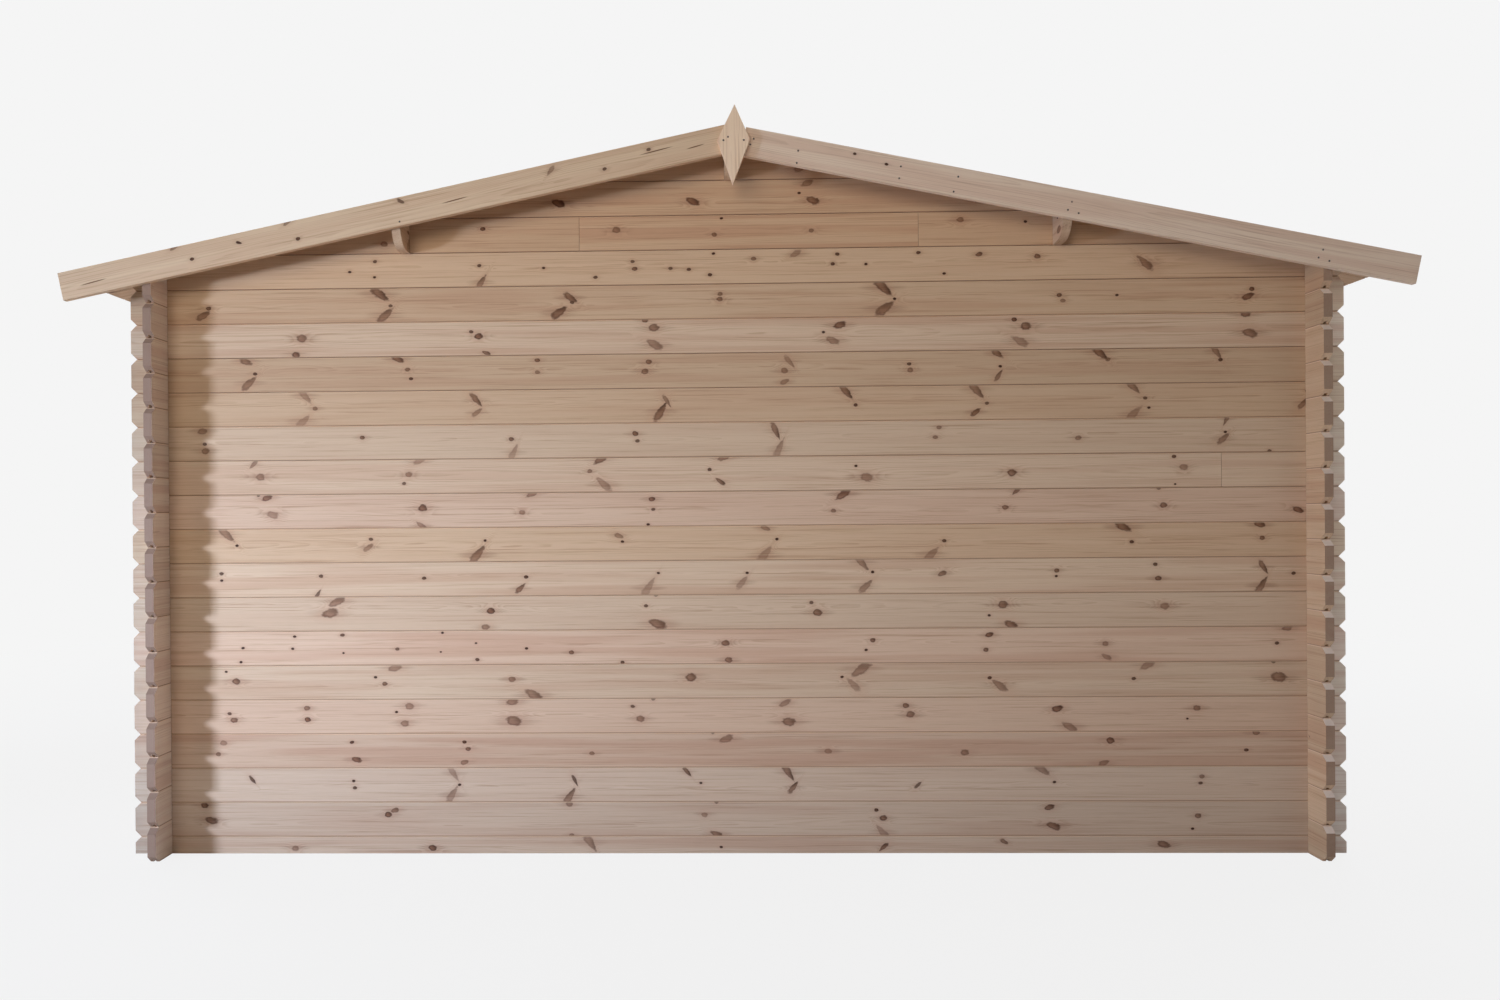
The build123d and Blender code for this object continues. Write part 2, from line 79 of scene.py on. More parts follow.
# Knots in the logs of the rear gable, from the half log up: metres from the middle, height in the log
# in percent, half width in millimetres and, where it slants, slant in tenths: above 0 it rises to the right
REAR_KNOTS = (
    ((-1.46, 65, 7), (-1.00, 66, 8), (-0.475, 83, 9, -8), (-0.04, 68, 3), (0.495, 68, 5, 6),
     (0.89, 83, 5, -4), (1.41, 75, 9, -2)),
    ((-1.765, 91, 7), (-1.743, 47, 9, -2), (-1.147, 63, 7), (-1.125, 76, 6, 2), (-0.543, 94, 7),
     (-0.536, 2, 5), (-0.094, 62, 6), (-0.055, 99, 4), (-0.055, 5, 8, -3), (0.472, 75, 4), (0.495, 52, 7),
     (0.492, 10, 8, -7), (1.038, 82, 7, 2), (1.051, 28, 9, -3), (1.521, 57, 6), (1.503, 20, 3)),
    ((-1.602, 65, 4, -7), (-1.263, 62, 3), (-1.259, 42, 4), (-0.928, 84, 7, -8), (-0.908, 50, 3),
     (-0.933, 21, 8, 8), (-0.523, 62, 4, -9), (-0.541, 16, 8, 8), (-0.151, 87, 5, -7), (-0.106, 54, 3),
     (0.183, 85, 8, -8), (0.199, 41, 6, 7), (0.609, 47, 4, 6), (1.015, 91, 9, -5), (1.055, 55, 3),
     (1.534, 70, 5), (1.53, 51, 4)),
    ((-1.699, 74, 7), (-1.717, 41, 5), (-1.267, 75, 4), (-1.252, 24, 7, -2), (-0.89, 75, 4),
     (-0.878, 55, 5), (-0.891, 16, 6, 2), (-0.466, 41, 5), (-0.065, 99, 3), (-0.021, 81, 9, 3),
     (0.315, 45, 7), (0.763, 41, 8), (1.238, 74, 8), (1.216, 9, 7, 3), (1.71, 96, 7), (1.678, 46, 4)),
    ((-1.678, 60, 4), (-1.663, 41, 7), (-1.417, 75, 6), (-1.415, 42, 6), (-1.073, 80, 9), (-1.117, 63, 3),
     (-1.089, 30, 8), (-0.73, 92, 9, 2), (-0.725, 36, 13, -1), (-0.261, 99, 4), (-0.33, 77, 4),
     (-0.304, 41, 8), (0.173, 85, 7, 4), (0.186, 31, 11, -1), (0.571, 77, 6), (0.586, 51, 8),
     (1.065, 66, 8, 2), (1.105, 14, 9, -4), (1.519, 67, 7), (1.488, 36, 2)),
    ((-1.689, 83, 3), (-1.655, 54, 8), (-1.121, 93, 10, 2), (-1.186, 65, 3), (-1.155, 46, 5),
     (-0.73, 57, 7), (-0.66, 12, 11, -4), (-0.136, 61, 11), (0.424, 81, 12, 5), (0.362, 60, 3),
     (0.399, 38, 8, -6), (0.846, 56, 4), (0.878, 34, 9, -5), (1.359, 90, 9, 4), (1.315, 52, 4),
     (1.785, 55, 13, -1), (1.768, 99, 4)),
    ((-1.631, 52, 3), (-1.638, 11, 3), (-1.457, 85, 3), (-1.464, 49, 3), (-1.296, 89, 4), (-1.293, 36, 2),
     (-1.113, 47, 4), (-0.961, 94, 3), (-0.967, 38, 2), (-0.849, 63, 2), (-0.845, 15, 4), (-0.681, 47, 3),
     (-0.532, 35, 5), (-0.362, 5, 4), (-0.021, 60, 7, 1), (-0.011, 11, 7), (0.464, 66, 5), (0.442, 38, 3),
     (0.845, 80, 6, 2), (0.834, 37, 5), (1.223, 53, 6), (1.227, 15, 6, -4), (1.813, 95, 7, 2),
     (1.779, 52, 4)),
    ((-1.314, 86, 10, 4), (-1.337, 53, 12, 2), (-0.799, 57, 8), (-0.816, 10, 7, 1), (-0.25, 100, 4),
     (-0.283, 69, 4), (-0.245, 16, 12, -3), (0.263, 76, 4), (0.283, 47, 9), (0.891, 67, 10), (0.846, 36, 3),
     (0.916, 9, 9, -3), (1.417, 60, 9)),
    ((-1.701, 70, 4), (-1.701, 50, 3), (-1.366, 61, 4), (-1.377, 9, 4, 8), (-1.021, 53, 4), (-0.681, 55, 4),
     (-0.70, 22, 6, 6), (-0.241, 64, 3), (-0.275, 22, 9, 8), (0.052, 63, 3), (0.036, 36, 7, 7),
     (0.43, 90, 8, -7), (0.465, 63, 3), (0.442, 22, 8, 6), (0.692, 57, 6, 3), (1.067, 64, 5),
     (1.065, 48, 3), (1.396, 40, 6), (1.387, 80, 4), (1.737, 70, 6, -8), (1.73, 17, 8, 8), (1.834, 52, 4)),
    ((-1.685, 86, 10, -6), (-1.648, 52, 3), (-1.198, 68, 4), (-1.206, 44, 6, 5), (-0.816, 62, 3),
     (-0.842, 21, 10, 7), (-0.371, 73, 6, -3), (-0.359, 56, 3), (0.114, 92, 6, -3), (0.151, 60, 3),
     (0.11, 15, 10, 7), (0.70, 52, 4), (0.658, 13, 9, 6), (1.283, 89, 10, -4), (1.311, 45, 4),
     (1.726, 93, 8, -2), (1.733, 54, 5)),
    ((-1.546, 91, 7, 3), (-1.575, 98, 3), (-1.527, 41, 9, -2), (-1.023, 58, 9), (-1.029, 7, 6, -5),
     (-0.659, 97, 7, 4), (-0.692, 43, 6), (-0.261, 79, 6), (-0.257, 49, 4), (-0.274, 5, 3),
     (0.369, 88, 9, 5), (0.338, 41, 5), (0.937, 94, 5, 6), (0.901, 47, 6), (1.399, 99, 4), (1.415, 50, 7),
     (1.85, 34, 7, -3)),
    ((-1.589, 90, 5, 6), (-1.567, 52, 9), (-1.034, 96, 8, 4), (-1.069, 56, 7), (-1.085, 30, 4),
     (-0.429, 97, 9, 5), (-0.466, 61, 5), (-0.42, 23, 9, -6), (-0.069, 63, 4), (-0.021, 99, 8, 4),
     (-0.034, 28, 5, -5), (0.413, 70, 3), (0.448, 37, 11, -1), (0.923, 47, 9), (1.45, 89, 4),
     (1.481, 58, 8), (1.453, 10, 2)),
    ((-1.761, 87, 8, 1), (-1.754, 50, 4), (-1.752, 30, 8), (-1.224, 65, 5), (-0.726, 56, 5),
     (-0.719, 17, 7, 9), (-0.314, 69, 6), (-0.307, 48, 4), (0.15, 73, 7, -9), (0.16, 21, 8, 9),
     (0.686, 79, 5), (0.674, 51, 5), (1.139, 45, 6), (1.62, 95, 5, 9), (1.616, 58, 3), (1.611, 40, 7, 6),
     (1.759, 3, 4)),
    ((-1.414, 87, 8, -7), (-1.381, 51, 5), (-1.37, 22, 3), (-1.424, 12, 9, 6), (-0.842, 72, 7, -7),
     (-0.84, 35, 6, 5), (-0.209, 63, 5, -8), (-0.23, 31, 9, 8), (0.382, 85, 8, -7), (0.413, 46, 4),
     (0.809, 85, 9, -7), (0.843, 47, 4), (0.806, 22, 6, 5), (1.318, 91, 8, -6), (1.358, 58, 4),
     (1.369, 30, 3), (1.32, 13, 9, 6), (1.882, 75, 4), (1.868, 38, 6, 7)),
    ((-1.613, 90, 8, -3), (-1.582, 54, 4), (-1.602, 27, 9, 6), (-1.103, 94, 8, -4), (-1.07, 62, 5),
     (-1.059, 35, 4), (-0.637, 85, 5), (-0.637, 50, 5), (-0.268, 77, 6), (-0.281, 49, 7),
     (0.197, 73, 6, -7), (0.18, 47, 7), (0.18, 15, 6, 3), (0.59, 63, 4), (0.593, 45, 6), (0.878, 90, 7, -5),
     (0.887, 53, 3), (0.882, 27, 5, 8), (1.212, 88, 9, -6), (1.237, 70, 5), (1.589, 88, 7, -8),
     (1.602, 65, 4)),
    ((-1.424, 56, 10), (-1.444, 8, 8), (-0.857, 70, 4), (-0.832, 57, 8), (-0.807, 8, 5, -3),
     (-0.279, 98, 6), (-0.25, 76, 10), (-0.249, 27, 10, -4), (0.309, 57, 3), (0.362, 77, 9, 2),
     (0.338, 33, 9, -3), (0.933, 87, 5), (0.971, 68, 10), (0.952, 25, 10, -4), (1.684, 97, 10),
     (1.697, 41, 11, -2)),
    ((-1.736, 47, 5), (-1.755, 26, 9, 4), (-1.162, 83, 11, -5), (-1.125, 48, 4), (-1.143, 21, 10, 6),
     (-0.525, 65, 8, -5), (-0.52, 52, 4), (-0.564, 23, 10, 5), (-0.03, 71, 5), (-0.032, 56, 6),
     (0.506, 84, 11, -6), (0.543, 51, 3), (0.51, 23, 11, 5), (1.081, 56, 5), (1.092, 40, 5), (1.268, 54, 3),
     (1.704, 67, 5), (1.692, 46, 8, 3)),
    ((-1.261, 48, 3), (-1.176, 78, 4), (-1.178, 32, 3), (-0.828, 62, 4), (-0.822, 13, 7, 8),
     (-0.614, 53, 3), (-0.442, 24, 4), (-0.319, 68, 4), (-0.312, 47, 5), (-0.193, 47, 4), (-0.133, 43, 4),
     (-0.051, 88, 3), (-0.063, 27, 4), (0.081, 72, 5), (0.218, 84, 7, 4), (0.356, 82, 4), (0.341, 54, 4),
     (0.45, 52, 3), (0.622, 83, 4), (0.706, 22, 3), (0.82, 76, 5, 2), (1.01, 68, 6), (1.36, 45, 9, -6)),
    ((-1.145, 28, 7), (-0.815, 68, 5), (-0.372, 60, 8), (-0.048, 43, 5), (-0.024, 90, 3), (0.271, 51, 5),
     (0.76, 76, 7), (0.972, 68, 3), (1.269, 50, 6)),
    ((-0.564, 40, 9, -3), (-0.119, 40, 9, -3), (0.259, 88, 8, 3), (0.232, 60, 3), (0.277, 38, 9, -3),
     (0.817, 33, 7)),
    ((-0.30, 50, 6), (0.234, 30, 8, 2)),
)

# How the rear logs look beside each other, from the half log up; the greyer lowest logs are partly greyer
# wood and partly painted cool light low on the wall
TONES = {
    "grey": (0.98, 1.01, 1.08),
    "pink": (1.02, 0.985, 1.01),
    "cream": (1.06, 1.06, 1.07),
    "plain": (1.0, 1.0, 1.0),
    "tan": (0.97, 0.92, 0.86),
    "amber": (0.98, 0.89, 0.80),
}
REAR_TONES = (
    "grey grey grey pink pink cream pink cream plain tan pink "
    "cream plain tan tan cream tan tan amber amber amber"
).split()

# How the log ends past the corners differ from the logs: partly their paler, greyer wood, mostly painted
# light and shade, paler where the lamps light them too little and darker where too much. First and last end
# along the grain
REAR_ENDS = ((0.80, 0.87, 0.94), (1.42, 1.78, 2.30))
LEFT_ENDS = ((1.35, 1.55, 1.85), (1.0, 1.0, 1.0))
RIGHT_ENDS = ((1.0, 1.0, 1.0), (0.95, 0.89, 0.80))

# Knots in the bargeboards, with metres from the ridge down, and in the finials
LEFT_BARGE_KNOTS = (
    ((0.26, 70, 4), (0.41, 40, 4), (0.58, 72, 5, -6), (1.07, 80, 4, 5), (1.42, 35, 4),
     (1.444, 94, 5, -4), (1.61, 64, 3, 4), (1.77, 45, 4), (1.82, 94, 5, -4)),
)
RIGHT_BARGE_KNOTS = (((0.405, 76, 3), (0.51, 62, 3)),)
FINIAL_KNOTS = (((0.0, 50, 1),),)

# How much paler these boards are than the logs: partly paler wood, partly painted light on boards that stand
# out in front of the walls
LEFT_BARGE_TINT = (1.10, 1.14, 1.15)
RIGHT_BARGE_TINT = (1.26, 1.38, 1.58)
FINIAL_TINT = (1.46, 1.55, 1.66)

# Drying cracks in the left bargeboards: distance from the ridge, height above the underside of the deck,
# half length
LEFT_BARGE_CRACKS = (
    (0.237, -0.003, 0.062), (0.112, -0.017, 0.034), (0.900, -0.017, 0.048), (2.100, -0.022, 0.050),
)

# Nails in the bargeboards: distance from the ridge, height above the underside of the deck.
# Nails in the finials: places along X and Z
LEFT_BARGE_NAILS = ((1.088, -0.046),)
RIGHT_BARGE_NAILS = (
    (0.081, -0.001), (0.074, -0.021), (0.227, -0.012), (0.230, -0.051), (0.556, 0.000),
    (0.558, -0.038), (0.740, 0.002), (0.735, -0.047), (1.099, -0.036), (1.106, -0.009),
    (1.134, -0.040), (1.896, -0.036), (1.905, -0.009), (1.931, -0.040),
)
FINIAL_NAILS = ((-0.003, 2.3134), (-0.0175, 2.3029), (0.047, 2.3025))


COLOUR = {"subtype": "COLOR", "size": 3, "min": 0.0, "max": 1.0}


class PineFinish(bpy.types.PropertyGroup):
    """Colours and grain of the untreated pine."""

    early_wood: FloatVectorProperty(
        name="Early wood", description="Pale wood between the rings",
        default=(0.660, 0.478, 0.322), **COLOUR,
    )
    late_wood: FloatVectorProperty(
        name="Late wood", description="Darker wood of the rings",
        default=(0.443, 0.268, 0.160), **COLOUR,
    )
    heart_wood: FloatVectorProperty(
        name="Heart wood", description="Pink bands near the heart",
        default=(0.577, 0.372, 0.243), **COLOUR,
    )
    live_knot: FloatVectorProperty(
        name="Live knot", description="Knots grown in with the wood",
        default=(0.160, 0.054, 0.022), **COLOUR,
    )
    dead_knot: FloatVectorProperty(
        name="Dead knot", description="Dark bark round dry knots",
        default=(0.036, 0.013, 0.008), **COLOUR,
    )
    end_grain: FloatVectorProperty(
        name="End grain", description="Sawn ends of the logs and boards",
        default=(0.270, 0.172, 0.125), **COLOUR,
    )
    joint: FloatVectorProperty(
        name="Joint", description="Shade in the joints between logs",
        default=(0.150, 0.058, 0.025), **COLOUR,
    )
    # Paler wood of the top bevel of a log, mostly a painted highlight where the bevel faces up to the light
    pale_bevel_and_highlight: FloatVectorProperty(
        name="Pale bevel and highlight", description="Pale bevel with painted highlight along the top edge of a log",
        default=(0.880, 0.625, 0.420), **COLOUR,
    )
    # Painted highlight on the upward-facing sloping cuts at the rear ends of the right-hand logs
    cut_highlight: FloatVectorProperty(
        name="Cut highlight", description="Sloping cuts at the ends of the right-hand logs",
        default=(0.950, 0.800, 0.680), **COLOUR,
    )
    ring_spacing: FloatProperty(
        name="Ring spacing", description="Distance between year rings", unit="LENGTH",
        min=0.001, max=0.02, default=0.0034,
    )
    whorl_spacing: FloatProperty(
        name="Whorl spacing", description="Distance between whorls of knots", unit="LENGTH",
        min=0.1, max=2.0, default=0.46,
    )
    knot_size: FloatProperty(
        name="Knot size", description="Half width of a middling knot", unit="LENGTH",
        min=0.001, max=0.05, default=0.010,
    )


class RoofFinish(bpy.types.PropertyGroup):
    """Roof boards and their nails."""

    boards: IntProperty(
        name="Boards", description="Boards on each slope of the roof", min=4, max=100, default=34,
    )
    thickness: FloatProperty(
        name="Thickness", description="Thickness of the roof boards", unit="LENGTH",
        min=0.005, max=0.05, default=0.018,
    )
    edge: FloatProperty(
        name="Edge bevel", description="Bevel along the edges of a board", unit="LENGTH",
        min=0.0005, max=0.01, default=0.003,
    )
    joint: FloatProperty(
        name="Joint", description="Gap between neighbouring boards", unit="LENGTH",
        min=0.0002, max=0.01, default=0.0008,
    )


class FixingFinish(bpy.types.PropertyGroup):
    """Nails, screws and door fittings."""

    nail_radius: FloatProperty(
        name="Nail head", description="Radius of a nail head", unit="LENGTH",
        min=0.0005, max=0.01, default=0.0032,
    )
    screw_radius: FloatProperty(
        name="Screw head", description="Radius of a hinge screw head", unit="LENGTH",
        min=0.001, max=0.02, default=0.0055,
    )
    nail_steel: FloatVectorProperty(
        name="Nail steel", description="Dull steel of the nails",
        default=(0.090, 0.070, 0.060), **COLOUR,
    )
    ironmongery: FloatVectorProperty(
        name="Ironmongery", description="Black paint of the hinges and the handle",
        default=(0.022, 0.021, 0.020), **COLOUR,
    )


class StudioFinish(bpy.types.PropertyGroup):
    """Floor and light."""

    backdrop: FloatVectorProperty(
        name="Backdrop", description="Pale grey behind the shed",
        default=(0.913, 0.913, 0.913), **COLOUR,
    )
    fill: FloatProperty(
        name="Fill", description="Strength of the even light all round", min=0.0, max=4.0, default=0.02,
    )
    key: FloatProperty(
        name="Key", description="Power of the narrow lamp at the left", unit="POWER",
        min=0.0, max=2000.0, default=21.2,
    )
    soft: FloatProperty(
        name="Soft", description="Power of the large lamp in front", unit="POWER",
        min=0.0, max=5000.0, default=27.6,
    )
    behind: FloatProperty(
        name="Behind", description="Power of the large lamps behind and above", unit="POWER",
        min=0.0, max=9000.0, default=800.0,
    )


class ShedFinish(bpy.types.PropertyGroup):
    """All that a user may change."""

    pine: PointerProperty(type=PineFinish)
    roof: PointerProperty(type=RoofFinish)
    fixings: PointerProperty(type=FixingFinish)
    studio: PointerProperty(type=StudioFinish)


class Signal:
    """A number in a shader graph; arithmetic on it adds Math nodes."""

    def __init__(self, graph, socket):
        self.graph = graph
        self.socket = socket

    def _with(self, operation, *others):
        return self.graph.math(operation, self, *others)

    def __add__(self, other):
        return self._with("ADD", other)

    def __sub__(self, other):
        return self._with("SUBTRACT", other)

    def __rsub__(self, other):
        return self.graph.math("SUBTRACT", other, self)

    def __mul__(self, other):
        return self._with("MULTIPLY", other)

    def __truediv__(self, other):
        return self._with("DIVIDE", other)

    def floor(self):
        return self._with("FLOOR")

    def fract(self):
        return self._with("FRACT")

    def size(self):
        return self._with("ABSOLUTE")

    def sine(self):
        return self._with("SINE")

    def cosine(self):
        return self._with("COSINE")

    def power(self, exponent):
        return self._with("POWER", exponent)

    def most(self, other):
        return self._with("MAXIMUM", other)

    def above(self, limit):
        return self._with("GREATER_THAN", limit)

    def equals(self, number):
        return self._with("COMPARE", number, 0.5)

    def ease(self, low, high):
        """Smooth step from 0 at low to 1 at high."""
        node = self.graph.node(
            "ShaderNodeMapRange", {"Value": self, "From Min": low, "From Max": high},
            interpolation_type="SMOOTHSTEP",
        )
        return Signal(self.graph, node.outputs["Result"])


class Graph:
    """Adds nodes to one shader tree and links them."""

    def __init__(self, tree):
        self.tree = tree

    def node(self, kind, inputs=None, **settings):
        node = self.tree.nodes.new(kind)
        for name, value in settings.items():
            setattr(node, name, value)
        for name, value in (inputs or {}).items():
            self.feed(node.inputs[name], value)
        return node

    def feed(self, socket, value):
        value = getattr(value, "socket", value)
        if isinstance(value, bpy.types.NodeSocket):
            self.tree.links.new(value, socket)
        else:
            socket.default_value = value

    def math(self, operation, *values):
        node = self.node("ShaderNodeMath", operation=operation)
        for socket, value in zip(node.inputs, values):
            self.feed(socket, value)
        return Signal(self, node.outputs[0])

    def point(self, x, y, z):
        return self.node("ShaderNodeCombineXYZ", {"X": x, "Y": y, "Z": z}).outputs[0]

    def dot(self, vector, direction):
        node = self.node("ShaderNodeVectorMath", operation="DOT_PRODUCT")
        self.feed(node.inputs[0], vector)
        self.feed(node.inputs[1], direction)
        return Signal(self, node.outputs["Value"])

    def dice(self, x, y, z=0.0):
        """Three fixed random numbers for a place."""
        noise = self.node("ShaderNodeTexWhiteNoise", {"Vector": self.point(x, y, z)}, noise_dimensions="3D")
        return self.parts(noise.outputs["Color"])

    def parts(self, vector):
        node = self.node("ShaderNodeSeparateXYZ", {"Vector": vector})
        return [Signal(self, output) for output in node.outputs]

    def noise(self, x, y, z, detail=2.0, roughness=0.5):
        node = self.node(
            "ShaderNodeTexNoise",
            {"Vector": self.point(x, y, z), "Scale": 1.0, "Detail": detail, "Roughness": roughness},
            noise_dimensions="3D",
        )
        return Signal(self, node.outputs[0]), self.parts(node.outputs[1])

    def mix(self, share, one, other, blend="MIX"):
        node = self.node("ShaderNodeMix", data_type="RGBA", blend_type=blend, clamp_factor=True)
        self.feed(node.inputs[0], share)
        for socket, value in ((node.inputs[6], one), (node.inputs[7], other)):
            written = hasattr(value, "__len__") and not hasattr(value, "socket")
            self.feed(socket, (*value, 1.0) if written else value)
        return node.outputs[2]


def inner_tree(name, inputs, outputs):
    """New node group with number sockets, its graph and its input signals."""
    group = bpy.data.node_groups.new(name, "ShaderNodeTree")
    for socket in inputs:
        group.interface.new_socket(name=socket, in_out="INPUT", socket_type="NodeSocketFloat")
    for socket, kind in outputs:
        group.interface.new_socket(name=socket, in_out="OUTPUT", socket_type=f"NodeSocket{kind}")
    graph = Graph(group)
    entry = graph.node("NodeGroupInput")
    return graph, [Signal(graph, output) for output in entry.outputs][: len(inputs)]


def pine_knot():
    """Node group of one knot on a face, in millimetres: its wood, its bark and what it does to the grain."""
    graph, (away, beside, rise, size, slant, rough) = inner_tree(
        "Pine knot",
        ("Away", "Beside", "Rise", "Size", "Slant", "Rough"),
        [(name, "Float") for name in ("Mark", "Dark", "Halo", "Tail", "Swell")],
    )
    size = size + size.above(0.5) * 0.7 + 0.01
    stretch = slant.size()
    angle = slant * 1.25
    east, north = angle.cosine(), angle.sine()
    length = (away * east + beside * north) / (size * (stretch * 2.5 + 1.35))
    outer = length * graph.math("SIGN", slant * rise)
    width = (beside * east - away * north) / (size * (outer * stretch * 0.6 + 1.0).most(0.3))
    spread = (length * length + width * width).power(0.5) + (rough - 0.5) * 0.7
    whim = (rise * 91.7 + size * 0.618).fract()
    near = spread.ease(1.18, 0.74)
    dot = size.ease(7.5, 4.0)
    side = (length * 0.7 + width * 0.5).ease(-0.3, 0.9)
    rim = spread.ease(0.45, 0.85) * (1.0 - stretch * 0.7)
    tail = (away / (size * 6.5)).power(2.0) + (beside / (size * 1.25)).power(2.0)
    leave = graph.node("NodeGroupOutput")
    for name, value in (
        ("Mark", near * (whim * 0.40 + 0.56 - stretch * 0.20)),
        ("Dark", near * (dot * 0.95 + (1.0 - dot) * side.most(rim * 0.9) * (whim * 0.70 + 0.20))),
        ("Halo", spread.ease(3.0, 0.9)),
        ("Tail", tail.ease(1.0, 0.05) * size.ease(2.0, 9.0)),
        ("Swell", graph.math("EXPONENT", spread * spread * -0.22) * size.ease(2.0, 9.0)),
    ):
        graph.feed(leave.inputs[name], value)
    return graph.tree


def pine_grain(finish):
    """Node group of solid pine: year rings round a wandering heart, pushed aside by the knots."""
    graph, (along, across, depth, seed, mark, dark, halo, tail, swell) = inner_tree(
        "Pine grain",
        ("Along", "Across", "Depth", "Seed", "Mark", "Dark", "Halo", "Tail", "Swell"),
        (("Colour", "Color"), ("Roughness", "Float"), ("Height", "Float")),
    )
    heart_side, heart_depth, tone = graph.dice(seed, 1.5)
    _, ring_width, warmth = graph.dice(seed, 2.5)
    start = along + seed * 613.0
    wander = graph.noise(start * 0.0011, seed * 3.1, 0.5, detail=1.0)[1]
    out_side = across - (heart_side - 0.5) * 40.0 - (wander[0] - 0.5) * 42.0
    out_depth = depth - (heart_depth * 30.0 + 5.0) - (wander[1] - 0.5) * 24.0
    radius = (out_side * out_side + out_depth * out_depth).power(0.5)

    ripple = graph.noise(start * 0.004, across * 0.03, depth * 0.03, detail=2.0)[0]
    pitch = (ring_width * 0.8 + 0.6) * (finish.ring_spacing * 1000.0)
    year = ((radius + swell * 8.0 + (ripple - 0.5) * 9.0) / pitch).fract()
    late = year.ease(0.25, 0.9) * year.ease(1.0, 0.93)
    streak = graph.noise(start * 0.0026, across * 0.20, depth * 0.20 + seed, detail=4.0, roughness=0.60)[0]
    band = graph.noise(start * 0.0012, across * 0.036, depth * 0.03 + seed * 1.7, detail=1.0)[0]
    fibre = graph.noise(start * 0.03, across * 1.1, depth * 1.1, detail=2.0)[0]

    colour = graph.mix(band.ease(0.40, 0.64) * (warmth * 0.85 + 0.15), finish.early_wood, finish.heart_wood)
    ring = late * (streak.ease(0.36, 0.72) * 0.55 + swell * 0.30 + 0.07)
    colour = graph.mix(ring, colour, finish.late_wood)
    colour = graph.mix(streak.ease(0.54, 0.74) * 0.70, colour, finish.late_wood)
    level = (tone - 0.5) * 0.16 + (fibre - 0.5) * 0.12 + 1.0
    colour = graph.mix(1.0, colour, graph.point(level, level, level), blend="MULTIPLY")
    colour = graph.mix(halo * 0.50, colour, finish.heart_wood)
    colour = graph.mix(tail * (streak.ease(0.38, 0.62) * 0.26 + 0.05), colour, finish.live_knot)
    colour = graph.mix(mark * ((fibre - 0.5) * 0.7 + 0.86), colour, finish.live_knot)
    colour = graph.mix(dark * ((fibre - 0.5) * 0.5 + 0.95), colour, finish.dead_knot)

    leave = graph.node("NodeGroupOutput")
    graph.feed(leave.inputs["Colour"], colour)
    graph.feed(leave.inputs["Roughness"], 0.68 - late * 0.08 + (fibre - 0.5) * 0.12 - mark * 0.14)
    graph.feed(leave.inputs["Height"], fibre)
    return graph.tree


def even_knots(graph, along, across, seed, spacing, width):
    """Three knots of the nearest whorl, where whorls stand about evenly along boards of a width."""
    stretch, shift, lean = graph.dice(seed, 9.5)
    step = (stretch * 0.5 + 0.75) * spacing
    place = along / step + shift * 20.0
    number = (place + 0.5).floor()
    reach = (place - number + (graph.dice(number, seed, 11.5)[0] - 0.5) * 0.3) * step
    lean = (lean - 0.5).above(0.0) * 2.0 - 1.0
    spike = graph.dice(seed, 12.5)[0].ease(0.3, 0.7)
    knots = []
    for rank, level in enumerate((0.30, -0.28, 0.04)):
        shove, rise, girth = graph.dice(number, seed, 21.5 + rank)
        there, turn, _ = graph.dice(number, seed, 31.5 + rank)
        slant = lean * (spike * 0.6 + turn * 0.25) * (-1.0 if level > 0.1 else 1.0 if level < -0.1 else 0.0)
        biggest = 9.0 if abs(level) > 0.1 else 2.5
        size = (girth.power(1.3) * biggest + 2.5) * there.above(0.22)
        height = (rise * 0.3 + (level - 0.15)) * width
        knots.append((reach + (shove - 0.5) * 0.05, across - height, height, size, slant))
    return knots


def listed_knots(graph, along, across, number, rows, first, pitch):
    """Three listed knots nearest to a place on a log: the lists of three logs share a ramp."""
    layers = [[[] for _ in rows] for _ in range(3)]
    for row, listed in enumerate(rows):
        for knot in sorted(listed):
            layer = min(layers, key=lambda one: one[row][-1][0] if one[row] else -9.0)
            layer[row].append(knot)
    block = ((number - (first - 0.1)) / 3.0).floor()
    share = (number - first - block * 3.0 + along / 4.0 + 0.5) / 3.0
    inside = [block.equals(float(rank)) for rank in range((len(rows) + 2) // 3)]
    knots = []
    for layer in layers:
        colour, alpha = (0.5, 0.5, 0.0), 0.5
        for rank, here in enumerate(inside):
            ramp = graph.node("ShaderNodeValToRGB", {"Fac": share})
            stops = ramp.color_ramp
            stops.interpolation = "CONSTANT"
            stops.elements.remove(stops.elements[1])
            stop = stops.elements[0]
            stop.position = 0.0
            stop.color = (0.5, 0.5, 0.0, 0.5)
            for line, listed in enumerate(layer[rank * 3 : rank * 3 + 3]):
                edges = [-2.0] + [(one[0] + other[0]) / 2 for one, other in zip(listed, listed[1:])]
                for edge, (middle, height, half, *lean) in zip(edges, listed):
                    if line or edge > -2.0:
                        stop = stops.elements.new((line + edge / 4.0 + 0.5) / 3.0)
                    slant = sum(lean) / 20.0 + 0.5
                    stop.color = (middle / 4.0 + 0.5, height / 100.0, half / 20.0, slant)
            colour = graph.mix(here, colour, ramp.outputs["Color"])
            alpha = here * (Signal(graph, ramp.outputs["Alpha"]) - alpha) + alpha
        middle, height, half = graph.parts(colour)
        height = (height - 0.5) * pitch
        away = along - (middle - 0.5) * 4.0
        knots.append((away, across - height, height, half * 20.0, (alpha - 0.5) * 2.0))
    return knots


def row_tones(graph, number, first, tones):
    """Colour ramp that gives each log its own tone, by its number."""
    ramp = graph.node("ShaderNodeValToRGB", {"Fac": (number - (first - 0.5)) / len(tones)})
    stops = ramp.color_ramp.elements
    ramp.color_ramp.interpolation = "CONSTANT"
    stops.remove(stops[1])
    for row, tone in enumerate(tones):
        stop = stops.new(row / len(tones)) if row else stops[0]
        stop.position = row / len(tones)
        stop.color = (*TONES[tone], 1.0)
    return ramp.outputs["Color"]


